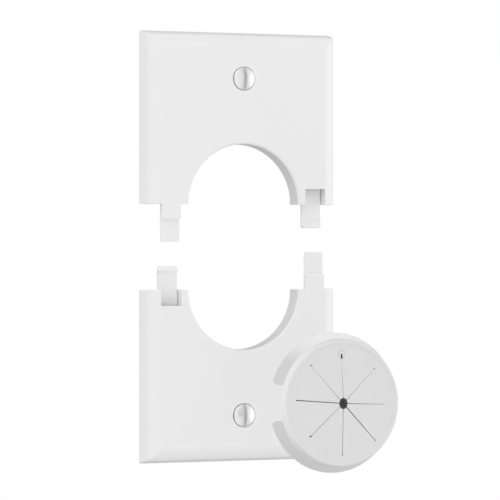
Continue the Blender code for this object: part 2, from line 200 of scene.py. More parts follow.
# Grommet. Depths count back from the crest of its front bead.
RIM_RADIUS = 19.85 * MM
SKIRT_RADIUS = 22.0 * MM
SKIRT_DEPTH = 6.6 * MM
SKIRT_WALL = 1.35 * MM
RIM_DEPTH = 1.5 * MM
MEMBRANE_FRONT = 0.3 * MM
MEMBRANE_BACK = 1.9 * MM
WEB_RADIUS = 12.0 * MM
GROOVE_RADIUS = 18.1 * MM
GROOVE_HALF_WIDTH = 0.4 * MM
GROOVE_DROP = 0.06 * MM
BEAD_RADIUS = 18.95 * MM
BEAD_DEPTH = 1.15 * MM
FLANK_STEPS = 14
NOTCH_HALF_WIDTH = 5.6 * MM
NOTCH_CORNER = 1.3 * MM
NOTCH_CORNER_REACH = 2.8 * MM
NOTCH_START = 1.95 * MM
NOTCH_RISE = 0.4 * MM
NOTCH_CORNER_STEPS = 8
NOTCH_CUT_DEPTH = 3.0 * MM
CRISP_NOTCH_REACH = 0.3 * MM
BEAD_STEPS = 8
# The rounding from the rim to the skirt and the one inside the skirt, as steps (outwards, backwards)
# from the rim's end and from the foot of the skirt's inner wall.
RIM_FLARE = (
    (0.0 * MM, -0.1 * MM),
    (0.08 * MM, 0.1 * MM),
    (0.25 * MM, 0.4 * MM),
)
SKIRT_FILLET = (
    (0.5 * MM, 0.8 * MM),
    (0.1 * MM, 0.25 * MM),
    (-0.5 * MM, 0.0 * MM),
)
RING_STEPS = 192
HUB_HALF_WIDTH = 1.42 * MM
HUB_HALF_HEIGHT = 1.75 * MM
HUB_BACK_RADIUS = 0.05 * MM
HUB_STEPS = 5
SLIT_BACK_HALF_WIDTH = 0.002 * MM
BEND_REACH = 4.5 * MM
BEND_ROWS = 12
SLIT_DOT_LENGTH = 0.42 * MM
SLIT_DOT_TAPER = 0.12 * MM
# The slits meet a little right of the grommet's own centre.
SLIT_CENTRE = Vector((0.51 * MM, 0.0))
# The slits, going round: angle from +X in degrees, where it ends, half widths at its end and at the
# hub, and the half width and length of the wider spot at its end.
SLITS = (
    (-2.1, 14.0 * MM, 0.04 * MM, 0.1 * MM, 0.1 * MM, SLIT_DOT_LENGTH),
    (44.8, 15.5 * MM, 0.02 * MM, 0.06 * MM, 0.13 * MM, SLIT_DOT_LENGTH),
    (92.3, 15.5 * MM, 0.015 * MM, 0.06 * MM, 0.26 * MM, 1.5 * MM),
    (133.1, 16.7 * MM, 0.02 * MM, 0.06 * MM, 0.17 * MM, SLIT_DOT_LENGTH),
    (175.5, 16.4 * MM, 0.13 * MM, 0.11 * MM, 0.16 * MM, SLIT_DOT_LENGTH),
    (221.5, 15.5 * MM, 0.06 * MM, 0.05 * MM, 0.22 * MM, 0.6 * MM),
    (268.7, 16.2 * MM, 0.06 * MM, 0.07 * MM, 0.16 * MM, SLIT_DOT_LENGTH),
    (313.3, 16.4 * MM, 0.07 * MM, 0.14 * MM, 0.16 * MM, SLIT_DOT_LENGTH),
)
GATE_SLIT = 2

# Camera: where it stands round the plate, how far off, and its framing.
CAMERA_AZIMUTH = math.radians(-24.455)
CAMERA_DISTANCE = 1.08053
CAMERA_LENS = 233.5
CAMERA_SENSOR = 36.0
CAMERA_SHIFT = (0.02856, -0.0061)

# Light: a dim even sky with large soft lights round the object, each as (azimuth, elevation) in degrees
# and its strength. Azimuth 0 faces the plate, and it grows to the right.
SKY_BASE = 0.38
SKY_LIGHTS = (
    ((75.0, 0.0), 1.74),
    ((-15.0, 0.0), 0.62),
    ((-45.0, 50.0), 1.0),
    ((-90.0, 50.0), 0.7),
    ((-60.0, 0.0), 0.12),
    ((-30.0, -50.0), 0.86),
    ((-150.0, 0.0), 0.6),
)
SKY_SOFTNESS = 6.0
WHITE = (1.0, 1.0, 1.0, 1.0)
FLOOR_SIZE = 6.0
FLOOR_DROP = 0.03

# Looks. Noise scales are in cells a metre. A pair is a range: of noise, tone, roughness or length. A bump
# is its depth and its strength. A speck's radius is a share of its cell.
NOISE_MIDDLE = (0.3, 0.7)
CLOUD_SCALE = 45.0
PEEL_SCALE = 1900.0
WAVE_SCALE = 160.0
PEEL_TONE = 0.012
PEEL_BUMP = (0.012 * MM, 0.35)
WAVE_BUMP = (0.05 * MM, 0.25)
PLASTIC_IOR = 1.5
PLASTIC_LOOKS = (
    ("moulded_plastic", (0.872, 0.884), (0.3, 0.36)),
    # A lighter tone on the rounded edges: a painted highlight.
    ("moulded_plastic_edge_highlight", (0.95, 0.965), (0.14, 0.2)),
    # A darker tone on the cable hole's wall: painted shade.
    ("moulded_plastic_wall_shade", (0.7, 0.72), (0.4, 0.5)),
)
PAINT_SCALE = 2600.0
PAINT_NOISE = (0.25, 0.75)
PAINT_ROUGHNESS = (0.2, 0.28)
PAINT_BUMP = (0.02 * MM, 0.3)
PAINT_LOOKS = (
    ("painted_steel", (0.8, 0.86), 0.45),
    # A darker tone inside the driver slot: painted shade.
    ("painted_steel_slot_shade", (0.68, 0.76), 0.5),
)
RUBBER_TONE = (0.725, 0.745)
RUBBER_ROUGHNESS = (0.6, 0.74)
RUBBER_CLOUD_SCALE = 140.0
DUST_SCALE = 3000.0
DUST_CRISPNESS = 0.6
DUST_TONE = 0.03
DUST_BUMP = (0.03 * MM, 0.4)
SPECK_SCALE = 330.0
SPECK_RADII = (0.03, 0.075)
SPECK_RARITY = 0.72
SPECK_TONE = 0.2
SKIRT_START = (RIM_RADIUS + 0.25 * MM, RIM_RADIUS + 0.4 * MM)
RIM_START = (BEAD_RADIUS + 0.1 * MM, RIM_RADIUS - 0.1 * MM)
# Painted light and shade on the grommet. Each runs from one height or side to another, -1 to 1 round the
# grommet, and from one change of tone to another.
# Painted shade on the skirt's flanks.
PAINTED_FLANK_SHADE = (-1.0, 0.4, 0.02, -0.11)
# A painted highlight on the skirt's top.
PAINTED_CROWN_LIGHT = (0.62, 0.96, 0.0, 0.34)
# A painted highlight on the rim's left side.
PAINTED_RIM_LIGHT = (-1.0, -0.2, 0.2, 0.05)
# The rim's painted highlight fades out towards the bottom.
RIM_LIGHT_FADE = (-1.0, -0.5, 0.0, 1.0)
GATE_RADIUS = 1.15 * MM
GATE_LINE = (0.06 * MM, 0.2 * MM)
GATE_TONE = 0.05
GATE_BUMP = (0.12 * MM, 1.0)
RUBBER_SHEEN = 0.08
CUT_SCALE = 2500.0
# The dark tone of the slits' and hub's cut sides is painted shade.
CUT_SHADE_TONE = (0.08, 0.11)
CUT_BUMP = (0.03 * MM, 0.5)
CUT_ROUGHNESS = 0.95
CUT_GLOSS = 0.1


def link_mesh(name, bm):
    """Turn a bmesh into a linked object with outward faces."""
    bmesh.ops.recalc_face_normals(bm, faces=bm.faces)
    mesh = bpy.data.meshes.new(name)
    bm.to_mesh(mesh)
    bm.free()
    made = bpy.data.objects.new(name, mesh)
    bpy.context.collection.objects.link(made)
    return made


def loft(name, rings):
    """A closed solid through rings of equally many points, with flat caps at both ends."""
    bm = bmesh.new()
    loops = [[bm.verts.new(point) for point in ring] for ring in rings]
    count = len(loops[0])
    for near, far in zip(loops, loops[1:]):
        for i in range(count):
            j = (i + 1) % count
            bm.faces.new((near[i], near[j], far[j], far[i]))
    bm.faces.new(loops[0])
    bm.faces.new(loops[-1])
    return link_mesh(name, bm)


def depth_y(depth):
    """The y of a depth behind the plate's front face."""
    return depth - PLATE_DEPTH


def slab(name, outline, near, far):
    """A prism of an (x, z) outline between two depths behind the front face."""
    rings = [[Vector((x, depth_y(depth), z)) for x, z in outline] for depth in (near, far)]
    return loft(name, rings)


def rectangle(x0, x1, z0, z1):
    """The four corners of a rectangle in (x, z)."""
    return [(x0, z0), (x1, z0), (x1, z1), (x0, z1)]


def arc(centre, radius, start, end, steps):
    """Points on an arc, angles in degrees, both ends included."""
    points = []
    for i in range(steps + 1):
        angle = math.radians(start + (end - start) * i / steps)
        points.append((centre[0] + radius * math.cos(angle), centre[1] + radius * math.sin(angle)))
    return points


def smooth_curve(points, steps):
    """Points on a Catmull-Rom curve through the given ones."""
    ends = [points[0], *points, points[-1]]
    curve = [points[0]]
    for before, start, end, after in zip(ends, ends[1:], ends[2:], ends[3:]):
        for i in range(1, steps + 1):
            t = i / steps
            weights = (
                0.5 * (-t + 2.0 * t**2 - t**3),
                0.5 * (2.0 - 5.0 * t**2 + 3.0 * t**3),
                0.5 * (t + 4.0 * t**2 - 3.0 * t**3),
                0.5 * (t**3 - t**2),
            )
            corners = (before, start, end, after)
            curve.append(tuple(sum(w * p[k] for w, p in zip(weights, corners)) for k in (0, 1)))
    return curve


def turned_solid(name, profile, steps):
    """A solid turned about the Y axis whose open profile starts and ends in a flat round cap."""
    rings = []
    for r, y in profile:
        turn = [2.0 * math.pi * (i + 0.5) / steps for i in range(steps)]
        rings.append([Vector((r * math.cos(a), y, r * math.sin(a))) for a in turn])
    return loft(name, rings)


def turned_ring(name, profile, steps):
    """A solid turned about the Y axis from a closed loop of (radius, y) points."""
    bm = bmesh.new()
    loops = []
    for i in range(steps):
        angle = 2.0 * math.pi * (i + 0.5) / steps
        across, up = math.cos(angle), math.sin(angle)
        loops.append([bm.verts.new((r * across, y, r * up)) for r, y in profile])
    for i in range(steps):
        near, far = loops[i], loops[(i + 1) % steps]
        for j in range(len(profile)):
            k = (j + 1) % len(profile)
            bm.faces.new((near[j], near[k], far[k], far[j]))
    return link_mesh(name, bm)


def bake_modifiers(made):
    """Replace an object's mesh by what its modifiers make of it."""
    shown = made.evaluated_get(bpy.context.evaluated_depsgraph_get())
    result = bpy.data.meshes.new_from_object(shown)
    old = made.data
    made.modifiers.clear()
    made.data = result
    bpy.data.meshes.remove(old)


def combine(target, tool, operation):
    """Apply an exact Boolean to the target and remove the tool."""
    modifier = target.modifiers.new(operation, "BOOLEAN")
    modifier.object = tool
    modifier.operation = operation
    modifier.solver = "EXACT"
    bake_modifiers(target)
    bpy.data.objects.remove(tool)


def add(target, tool):
    combine(target, tool, "UNION")


def cut(target, tool):
    combine(target, tool, "DIFFERENCE")


def moved(made, offset):
    """Shift an object's mesh, leaving its origin."""
    made.data.transform(Matrix.Translation(offset))
    return made


def weld(bm):
    """Join points that lie on each other, and drop the slivers between them."""
    bmesh.ops.remove_doubles(bm, verts=bm.verts, dist=WELD_DISTANCE)
    bmesh.ops.dissolve_degenerate(bm, dist=WELD_DISTANCE, edges=bm.edges)


def soften(made, width, steps, chosen, material=-1):
    """Round off the sharp edges whose middle point is chosen, in their own material slot if one is given."""
    bm = bmesh.new()
    bm.from_mesh(made.data)
    bmesh.ops.remove_doubles(bm, verts=bm.verts, dist=MERGE_DISTANCE)
    edges = []
    for edge in bm.edges:
        middle = (edge.verts[0].co + edge.verts[1].co) / 2.0
        if len(edge.link_faces) == 2 and edge.calc_face_angle() > SHARP_EDGE and chosen(middle):
            edges.append(edge)
    bmesh.ops.bevel(
        bm,
        geom=edges,
        offset=width,
        offset_type="OFFSET",
        segments=steps,
        profile=0.5,
        material=material,
        affect="EDGES",
        clamp_overlap=False,
    )
    weld(bm)
    bm.to_mesh(made.data)
    bm.free()


def shade(made):
    """Smooth shading that keeps flat faces flat."""
    made.data.shade_smooth()
    made.data.set_sharp_from_angle(angle=CREASE)
    weighted = made.modifiers.new("weighted_normals", "WEIGHTED_NORMAL")
    weighted.keep_sharp = True
    weighted.weight = FLAT_FACE_WEIGHT
    bake_modifiers(made)


def settle(made, name, place, body, materials):
    """Put a finished mesh in its place in the scene, riding on its body and materials."""
    made.data.transform(place)
    made.name = name
    made.data.name = name
    for material in materials:
        made.data.materials.append(material)
    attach(made, body)
    return made


# ---------------------------------------------------------------------------------------- plate halves


def tip_points(middle, width, tip):
    """The rounded lower end of a tongue in (x, z), from its left side to its right side."""
    low = tip + TIP_RADIUS
    reach = width / 2.0 - TIP_RADIUS
    left = arc((middle - reach, low), TIP_RADIUS, 180.0, 270.0, TIP_STEPS)
    right = arc((middle + reach, low), TIP_RADIUS, 270.0, 360.0, TIP_STEPS)
    return left + right


def tongue_outline(middle, width, root, tip):
    """A tongue in (x, z) from its root down to a tip with rounded corners."""
    left = (middle - width / 2.0, root)
    right = (middle + width / 2.0, root)
    return [left, *tip_points(middle, width, tip), right]


def plate_ring(inset, height, bottom):
    """One rounded-rectangle ring of the plate's outline, open to the split edge at the bottom."""
    half = PLATE_WIDTH / 2.0 - inset
    top = HALF_HEIGHT - inset
    radius = max(RIM_CORNER - RIM_CORNER_TIGHTENS * inset, FACE_CORNER)
    outline = [(-half, bottom), (half, bottom)]
    outline += arc((half - radius, top - radius), radius, 0.0, 90.0, CORNER_STEPS)
    outline += arc((radius - half, top - radius), radius, 90.0, 180.0, CORNER_STEPS)
    return [Vector((x, -height, z)) for x, z in outline]


def plate_shell():
    """The face and side walls of one half, with its hollow back and stock below for the tongue."""
    bottom = -STIFF_TONGUE_LENGTH - STOCK_BELOW_TONGUE
    edge = [*smooth_curve(EDGE_PROFILE, EDGE_STEPS), (FACE_INSET, PLATE_DEPTH)]
    shell = loft("shell", [plate_ring(inset, height, bottom) for inset, height in edge])
    levels = (
        (SIDE_WALL, -BEYOND),
        CAVITY_MID,
        (CAVITY_TOP_INSET, PLATE_DEPTH - CAVITY_DEPTH),
    )
    cut(shell, loft("cavity", [plate_ring(inset, height, END_WALL) for inset, height in levels]))
    return shell


def add_back_ribs(half):
    """The collar round the cable hole, the screw's boss and the block that holds the latch tongue."""
    start = depth_y(FACE_WALL / 2.0)
    collar = BORE_RADIUS + COLLAR_WALL
    profile = [(collar, start), (collar, depth_y(COLLAR_DEPTH))]
    add(half, turned_solid("collar", profile, BORE_STEPS))
    profile = [(BOSS_RADIUS, start), (BOSS_RADIUS, depth_y(BOSS_DEPTH))]
    add(half, moved(turned_solid("boss", profile, HOLE_STEPS), SCREW_PLACE))
    reach = CHANNEL_WIDTH / 2.0 + CHEEK_WALL
    top = LATCH_ROOT_HEIGHT + PIECE_GAP + ROOT_BLOCK_HEIGHT
    block = rectangle(TONGUE_OFFSET - reach, TONGUE_OFFSET + reach, -END_WALL, top)
    add(half, slab("block", block, FACE_WALL / 2.0, RIB_DEPTH))


def add_catch(half):
    """The ledge behind the stiff tongue that the other half's latch lip snaps over."""
    left = -TONGUE_OFFSET - PAD_WIDTH / 2.0
    right = left + PAD_WIDTH
    near = depth_y(FACE_WALL / 2.0)
    crest = depth_y(CATCH_DEPTH)
    ramp = (CATCH_BOTTOM + CATCH_TOP) / 2.0
    section = ((near, CATCH_BOTTOM), (near, CATCH_TOP), (crest, CATCH_TOP), (crest, ramp))
    rings = [[Vector((x, y, z)) for y, z in section] for x in (left, right)]
    add(half, loft("catch", rings))


def trim_split_edge(half):
    """Cut the half off at z = 0, leaving the stiff tongue: a flush pad, then a thinner extension."""
    back = PLATE_DEPTH + BEYOND
    side = PLATE_WIDTH
    low = -BORE_RADIUS - COLLAR_WALL - BEYOND
    level = SPLIT_CLEARANCE
    tongue = tongue_outline(-TONGUE_OFFSET, PAD_WIDTH, level, -STIFF_TONGUE_LENGTH)
    outline = [(-side, low), (-side, level), *tongue, (side, level), (side, low)]
    cut(half, slab("trim", outline, -BEYOND, back))
    step = rectangle(-side, 0.0, low, -PAD_LENGTH)
    cut(half, slab("step", step, -BEYOND, PAD_STEP))


def cut_bore(half):
    """The cable hole with its rounded front edge."""
    middle = (BORE_RADIUS + BORE_CHAMFER, BORE_CHAMFER)
    lip = arc(middle, BORE_CHAMFER, BORE_LIP_START, 180.0, BORE_LIP_STEPS)
    profile = [
        (BORE_RADIUS + 2.0 * BORE_CHAMFER, -BEYOND),
        (BORE_RADIUS + BORE_LIP_FLARE * BORE_CHAMFER, 0.0),
    ]
    profile += lip[1:]
    profile.append((BORE_RADIUS, PLATE_DEPTH + BEYOND))
    profile = [(radius, depth_y(depth)) for radius, depth in profile]
    cut(half, turned_solid("bore", profile, BORE_STEPS))


def cut_screw_hole(half):
    """The countersink and clearance hole for the mounting screw."""
    slope = math.tan(CONE_ANGLE / 2.0)
    cone_depth = (COUNTERSINK_RADIUS - CLEARANCE_RADIUS) / slope
    profile = [
        (COUNTERSINK_RADIUS + BEYOND * slope, depth_y(-BEYOND)),
        (CLEARANCE_RADIUS, depth_y(cone_depth)),
        (CLEARANCE_RADIUS, depth_y(PLATE_DEPTH + BEYOND)),
    ]
    cut(half, moved(turned_solid("screw_hole", profile, HOLE_STEPS), SCREW_PLACE))


def cut_channels(half):
    """The front recess, the pocket behind the thinned face and the way in for the other latch."""
    back = PLATE_DEPTH + BEYOND
    inner = TONGUE_OFFSET - CHANNEL_WIDTH / 2.0
    outer = TONGUE_OFFSET + CHANNEL_WIDTH / 2.0
    cut(half, slab("recess", rectangle(inner, outer, -BEYOND, RECESS_HEIGHT), -BEYOND, back))
    pocket = rectangle(inner, outer, RECESS_HEIGHT / 2.0, POCKET_HEIGHT)
    cut(half, slab("pocket", pocket, THIN_WALL, back))
    doorway = rectangle(-outer, -inner, -STIFF_TONGUE_LENGTH - BEYOND, END_WALL + BEYOND)
    cut(half, slab("doorway", doorway, FACE_WALL, back))


def plate_edge_chosen(middle):
    """Edges worth rounding: not the back rim, the hollow's inner corners or the crowded ones by the catch."""
    beside = abs(middle.x + TONGUE_OFFSET) < CHANNEL_WIDTH / 2.0 + CROWDED_REACH
    level = CROWDED_REACH < middle.z < CATCH_TOP + CROWDED_REACH
    behind = middle.y > depth_y(FACE_WALL) - CROWDED_REACH / 2.0
    inner_corner = abs(middle.y - depth_y(CAVITY_DEPTH)) < CORNER_REACH
    return middle.y < -BEYOND and not inner_corner and not (beside and level and behind)


def plate_half():
    """One whole plate half, its split edge on z = 0 and its face towards -Y."""
    half = plate_shell()
    add_back_ribs(half)
    add_catch(half)
    cut_bore(half)
    cut_screw_hole(half)
    trim_split_edge(half)
    cut_channels(half)
    # The cable hole's wall takes the darker material: painted shade.
    for face in half.data.polygons:
        off_axis = math.hypot(face.center.x, face.center.z)
        if off_axis < BORE_RADIUS and abs(face.normal.y) < WALL_LEAN:
            face.material_index = WALL_SHADE_SLOT
    # The rounded edges take the lighter material: a painted highlight.
    soften(half, PLATE_SOFTNESS, BEVEL_STEPS, plate_edge_chosen, EDGE_HIGHLIGHT_SLOT)
    shade(half)
    return half


def latch_tongue():
    """The thin snap tongue with the lip at its end."""
    outline = tongue_outline(TONGUE_OFFSET, LATCH_WIDTH, LATCH_ROOT_HEIGHT, -LATCH_LENGTH)
    tongue = slab("blade", outline, LATCH_FRONT, LATCH_BACK)
    lip_top = LIP_HEIGHT - LATCH_LENGTH
    middle = (LATCH_FRONT + LATCH_BACK) / 2.0
    rings = []
    for depth, rise in ((middle, 0.0), (LIP_FRONT + LIP_LEAD_IN, 0.0), (LIP_FRONT, LIP_LEAD_IN)):
        lip = tongue_outline(TONGUE_OFFSET, LATCH_WIDTH, lip_top, rise - LATCH_LENGTH)
        rings.append([Vector((x, depth_y(depth), z)) for x, z in lip])
    add(tongue, loft("lip", rings))
    # The rounded edges take the lighter material: a painted highlight.
    soften(tongue, TONGUE_SOFTNESS, BEVEL_STEPS, lambda middle: True, EDGE_HIGHLIGHT_SLOT)
    shade(tongue)
    return tongue


# ---------------------------------------------------------------------------------------------- screws


def head_points():
    """The head's domed top, rim and cone, as (radius, depth)."""
    points = []
    for i in range(CROWN_STEPS):
        share = (i + CROWN_FIRST_STEP) / CROWN_STEPS
        points.append((HEAD_RADIUS * share, -HEAD_CROWN * (1.0 - share**2)))
    rim_end = HEAD_SEAT + HEAD_RIM
    cone_end = rim_end + (HEAD_RADIUS - SHANK_RADIUS) / math.tan(CONE_ANGLE / 2.0)
    points.append((HEAD_RADIUS, HEAD_SEAT))
    points += [(HEAD_RADIUS, rim_end), (SHANK_RADIUS, cone_end)]
    return points


def thread_radius(depth, turn):
    """The thread's radius at a depth and a share of a turn, running in at its start and end."""
    phase = (depth / THREAD_PITCH - turn) % 1.0
    ridge = 1.0 - abs(2.0 * phase - 1.0)
    ridge = min(ridge * THREAD_FLAT, 1.0)
    run_in = min(1.0, max(0.0, (depth - THREAD_START) / THREAD_RUN_IN))
    left = (SCREW_LENGTH - depth) / POINT_LENGTH
    crest = SHANK_RADIUS * min(1.0, POINT_SHARE + (1.0 - POINT_SHARE) * left)
    root = min(crest, THREAD_ROOT_RADIUS + (1.0 - run_in) * (SHANK_RADIUS - THREAD_ROOT_RADIUS))
    return root + (crest - root) * ridge


def screw():
    """A slotted oval-head screw on the Y axis, its depth counted from the plate's face."""
    angles = [2.0 * math.pi * (i + 0.5) / SCREW_STEPS for i in range(SCREW_STEPS)]
    rings = []
    for radius, depth in head_points():
        rings.append([(radius * math.cos(a), depth_y(depth), radius * math.sin(a)) for a in angles])
    rows = round((SCREW_LENGTH - THREAD_START) / THREAD_PITCH * THREAD_STEPS)
    for row in range(rows + 1):
        depth = THREAD_START + (SCREW_LENGTH - THREAD_START) * row / rows
        ring = []
        for a in angles:
            radius = thread_radius(depth, a / (2.0 * math.pi))
            ring.append((radius * math.cos(a), depth_y(depth), radius * math.sin(a)))
        rings.append(ring)
    made = loft("screw", rings)
    slot = rectangle(-SLOT_WIDTH / 2.0, SLOT_WIDTH / 2.0, -2.0 * HEAD_RADIUS, 2.0 * HEAD_RADIUS)
    cut(made, slab("slot", slot, -2.0 * HEAD_CROWN, SLOT_DEPTH - HEAD_CROWN))
    slot_zone = depth_y(SLOT_DEPTH - HEAD_CROWN)
    # The driver slot's faces take the darker material: painted shade.
    for face in made.data.polygons:
        near_axis = abs(face.center.x) < SLOT_WIDTH / 2.0 + MERGE_DISTANCE
        is_side = abs(face.normal.x) > SQUARE_ON or face.center.y > slot_zone - MERGE_DISTANCE
        if near_axis and is_side and face.center.y < slot_zone + MERGE_DISTANCE:
            face.material_index = DRIVER_SLOT_SHADE
    soften(made, SCREW_SOFTNESS, BEVEL_STEPS, lambda middle: middle.y < slot_zone - CORNER_REACH)
    shade(made)
    return made


# --------------------------------------------------------------------------------------------- grommet


def ring_profile():
    """The grommet ring's closed section, as (radius, depth)."""
    front = [(WEB_RADIUS, MEMBRANE_FRONT)]
    start = GROOVE_RADIUS - GROOVE_HALF_WIDTH
    for i in range(FLANK_STEPS):
        radius = start + (BEAD_RADIUS - start) * i / FLANK_STEPS
        off_groove = min(1.0, abs(radius - GROOVE_RADIUS) / GROOVE_HALF_WIDTH)
        dip = GROOVE_DROP * (0.5 + 0.5 * math.cos(math.pi * off_groove))
        share = max(0.0, (radius - GROOVE_RADIUS) / (BEAD_RADIUS - GROOVE_RADIUS))
        rise = MEMBRANE_FRONT * share * share * (3.0 - 2.0 * share)
        front.append((radius, MEMBRANE_FRONT + dip - rise))
    width = RIM_RADIUS - BEAD_RADIUS
    for i in range(BEAD_STEPS + 1):
        angle = math.radians(90.0 * i / BEAD_STEPS)
        front.append((BEAD_RADIUS + width * math.sin(angle), BEAD_DEPTH * (1.0 - math.cos(angle))))
    back = [(RIM_RADIUS + out, RIM_DEPTH + behind) for out, behind in RIM_FLARE]
    back += [(SKIRT_RADIUS, SKIRT_DEPTH), (SKIRT_RADIUS - SKIRT_WALL, SKIRT_DEPTH)]
    foot = RIM_RADIUS - SKIRT_WALL
    back += [(foot + out, MEMBRANE_BACK + behind) for out, behind in SKIRT_FILLET]
    back.append((WEB_RADIUS, MEMBRANE_BACK))
    return front + back


def membrane_point(point, depth):
    """A point of the slits' plane, as (x, depth, z) in the grommet's own frame."""
    return Vector((SLIT_CENTRE.x + point.x, depth, SLIT_CENTRE.y + point.y))


def slit_direction(index):
    """The direction of one slit in the membrane's plane, as a 2-D vector."""
    turn = math.radians(SLITS[index % len(SLITS)][0])
    return Vector((math.cos(turn), math.sin(turn)))


def slit_end(index):
    """Where one slit ends in the membrane's plane."""
    return slit_direction(index) * SLITS[index % len(SLITS)][1]


def hub_reach(angle, back):
    """How far the hub reaches at an angle: oval on the membrane's front, small and round on its back."""
    if back:
        return HUB_BACK_RADIUS
    return 1.0 / math.hypot(math.cos(angle) / HUB_HALF_WIDTH, math.sin(angle) / HUB_HALF_HEIGHT)


def line_meet(point_a, along_a, point_b, along_b):
    """Where two 2-D lines cross."""
    across = along_a.x * along_b.y - along_a.y * along_b.x
    gap = point_b - point_a
    return point_a + along_a * ((gap.x * along_b.y - gap.y * along_b.x) / across)


def notch_cutter(side):
    """The cutter for one side notch in the skirt, with rounded corners at the skirt's edge."""
    corner = SKIRT_DEPTH - NOTCH_CORNER_REACH
    section = [(NOTCH_START, NOTCH_HALF_WIDTH)]
    for i in range(NOTCH_CORNER_STEPS + 1):
        angle = math.radians(90.0 * i / NOTCH_CORNER_STEPS)
        depth = corner + NOTCH_CORNER_REACH * math.sin(angle)
        section.append((depth, NOTCH_HALF_WIDTH + NOTCH_CORNER * (1.0 - math.cos(angle))))
    section.append((SKIRT_DEPTH + BEYOND, NOTCH_HALF_WIDTH + NOTCH_CORNER))
    section += [(depth, -half) for depth, half in reversed(section)]
    rings = []
    for x in (RIM_RADIUS - NOTCH_CUT_DEPTH, SKIRT_RADIUS + BEYOND):
        rings.append([Vector((side * x, depth, half + NOTCH_RISE)) for depth, half in section])
    return loft("notch", rings)


def grommet_ring():
    """The grommet's bead, rim, web and flared skirt, opened for the petals."""
    ring = turned_ring("ring", ring_profile(), RING_STEPS)
    ends = [slit_end(index) for index in range(len(SLITS))]
    opening = [[membrane_point(p, depth) for p in ends] for depth in (-BEYOND, SKIRT_DEPTH)]
    cut(ring, loft("opening", opening))
    for side in (-1.0, 1.0):
        cut(ring, notch_cutter(side))
    crisp_depth = NOTCH_START + CRISP_NOTCH_REACH
    soften(ring, RUBBER_SOFTNESS, RUBBER_BEVEL_STEPS, lambda middle: middle.y > crisp_depth)
    shade(ring)
    return ring


def slit_side(index, turn, back):
    """One side of a slit from its end inwards, as (vector along the slit, vector across to the petal)."""
    _, end, end_half, hub_half, spot_half, spot_length = SLITS[index % len(SLITS)]
    hub = hub_reach(math.radians(SLITS[index % len(SLITS)][0]), back)
    if back:
        halves = (SLIT_BACK_HALF_WIDTH,) * 4
    else:
        halves = (spot_half, spot_half, end_half, hub_half)
    reaches = (end, end - spot_length, end - spot_length - SLIT_DOT_TAPER, hub)
    along = slit_direction(index)
    across = Vector((-along.y, along.x)) * turn
    return [(along * reach, across * half) for reach, half in zip(reaches, halves)]


def petal_outline(index, back):
    """One petal's outline in the membrane's plane at the front or the back of the membrane."""
    start, end = slit_end(index), slit_end(index + 1)
    chord = (end - start).normalized()
    first = slit_side(index, 1.0, back)
    last = slit_side(index + 1, -1.0, back)
    outline = [line_meet(start, chord, last[0][1], slit_direction(index + 1))]
    outline += [along + across for along, across in last[1:]]
    low = math.atan2(*reversed(first[-1][0] + first[-1][1]))
    high = math.atan2(*reversed(last[-1][0] + last[-1][1]))
    if high < low:
        high += 2.0 * math.pi
    for i in range(1, HUB_STEPS):
        angle = high + (low - high) * i / HUB_STEPS
        outline.append(Vector((math.cos(angle), math.sin(angle))) * hub_reach(angle, back))
    outline += [along + across for along, across in reversed(first[1:])]
    outline.append(line_meet(start, chord, first[0][1], slit_direction(index)))
    return outline


def chord_frame(index):
    """The middle of a petal's bending line and the direction from it towards the hub."""
    start, end = slit_end(index), slit_end(index + 1)
    along = (end - start).normalized()
    return (start + end) / 2.0, Vector((-along.y, along.x))


def petal(index):
    """One petal, split into rows beside its bending line so that it can curl, its cut sides in painted shade.
    """
    rings = []
    for back, depth in ((False, MEMBRANE_FRONT), (True, MEMBRANE_BACK)):
        rings.append([membrane_point(p, depth) for p in petal_outline(index, back)])
    made = loft("petal", rings)
    middle, inward = chord_frame(index)
    normal = Vector((inward.x, 0.0, inward.y))
    bm = bmesh.new()
    bm.from_mesh(made.data)
    for row in range(1, BEND_ROWS + 1):
        place = membrane_point(middle + inward * (BEND_REACH * row / BEND_ROWS), 0.0)
        geometry = bm.verts[:] + bm.edges[:] + bm.faces[:]
        bmesh.ops.bisect_plane(bm, geom=geometry, plane_co=place, plane_no=normal)
    weld(bm)
    # The slit sides and the hub take the dark material: painted shade.
    for face in bm.faces:
        is_wall = abs(face.normal.y) < SQUARE_ON
        is_root = face.normal.dot(normal) < -SQUARE_ON
        face.material_index = int(is_wall and not is_root)
        face.smooth = False
    bm.to_mesh(made.data)
    bm.free()
    return made


# ------------------------------------------------------------------------------------------- materials


